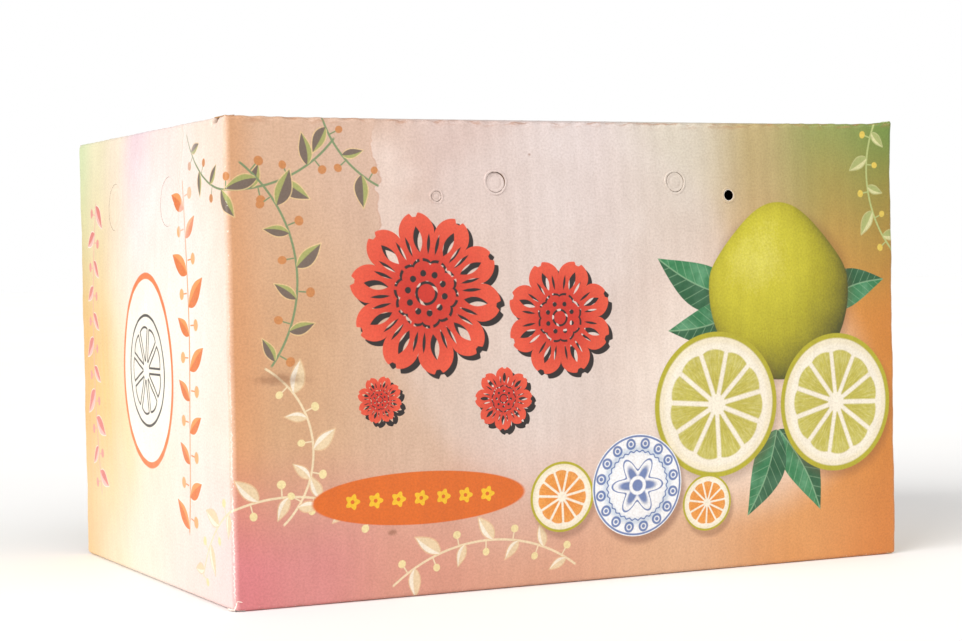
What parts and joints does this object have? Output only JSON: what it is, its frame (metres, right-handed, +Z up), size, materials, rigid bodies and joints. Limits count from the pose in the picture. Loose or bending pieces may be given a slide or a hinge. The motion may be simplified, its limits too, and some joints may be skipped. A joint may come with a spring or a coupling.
{
  "type": "corrugated fruit carton",
  "caption": "Printed corrugated fruit carton with hinged slotted top flaps, a stapled base, a stitched lap joint and knock-out vents in its walls.",
  "frame": {"origin": "centre of the base, on the floor", "axes": "+X along the long front wall to the viewer's right, the front wall faces -Y, +Z up"},
  "size_m": [0.36, 0.238, 0.221],
  "materials": {
    "printed_board": "satin",
    "kraft_board": "matte",
    "wire": "satin"
  },
  "bodies": {
    "shell": {"front_panel": "printed_board", "back_panel": "printed_board", "left_panel": "printed_board", "right_panel": "printed_board", "bottom_front_flap": "printed_board", "bottom_back_flap": "printed_board", "bottom_left_flap": "printed_board", "bottom_right_flap": "printed_board", "lap_tab": "kraft_board", "front_vent_plug_small_left": "printed_board", "front_vent_plug_large_left": "printed_board", "front_vent_plug_large_right": "printed_board", "back_vent_plug_small_left": "printed_board", "back_vent_plug_small_right": "printed_board", "back_vent_plug_large_left": "printed_board", "back_vent_plug_large_right": "printed_board", "left_vent_plug_left": "printed_board", "left_vent_plug_right": "printed_board", "right_vent_plug_left": "printed_board", "right_vent_plug_right": "printed_board", "lap_stitch_1": "wire", "lap_stitch_2": "wire", "lap_stitch_3": "wire", "lap_stitch_4": "wire", "lap_stitch_5": "wire", "bottom_front_staple_1": "wire", "bottom_front_staple_2": "wire", "bottom_front_staple_3": "wire", "bottom_front_staple_4": "wire", "bottom_back_staple_1": "wire", "bottom_back_staple_2": "wire", "bottom_back_staple_3": "wire", "bottom_back_staple_4": "wire"},
    "front_lid": {"top_front_flap": "printed_board"},
    "back_lid": {"top_back_flap": "printed_board"},
    "left_lid": {"top_left_flap": "printed_board"},
    "right_lid": {"top_right_flap": "printed_board"}
  },
  "joints": [
    {"name": "front_crease", "type": "hinge", "parent": "shell", "child": "front_lid", "pos_m": [0, -0.119, 0.221], "axis": [1, 0, 0], "range_deg": [0, 255]},
    {"name": "back_crease", "type": "hinge", "parent": "shell", "child": "back_lid", "pos_m": [0, 0.119, 0.221], "axis": [-1, 0, 0], "range_deg": [0, 255]},
    {"name": "left_crease", "type": "hinge", "parent": "shell", "child": "left_lid", "pos_m": [-0.1748, 0, 0.211], "axis": [0, 1, 0], "range_deg": [0, 88]},
    {"name": "right_crease", "type": "hinge", "parent": "shell", "child": "right_lid", "pos_m": [0.1748, 0, 0.211], "axis": [0, -1, 0], "range_deg": [0, 88]}
  ]
}
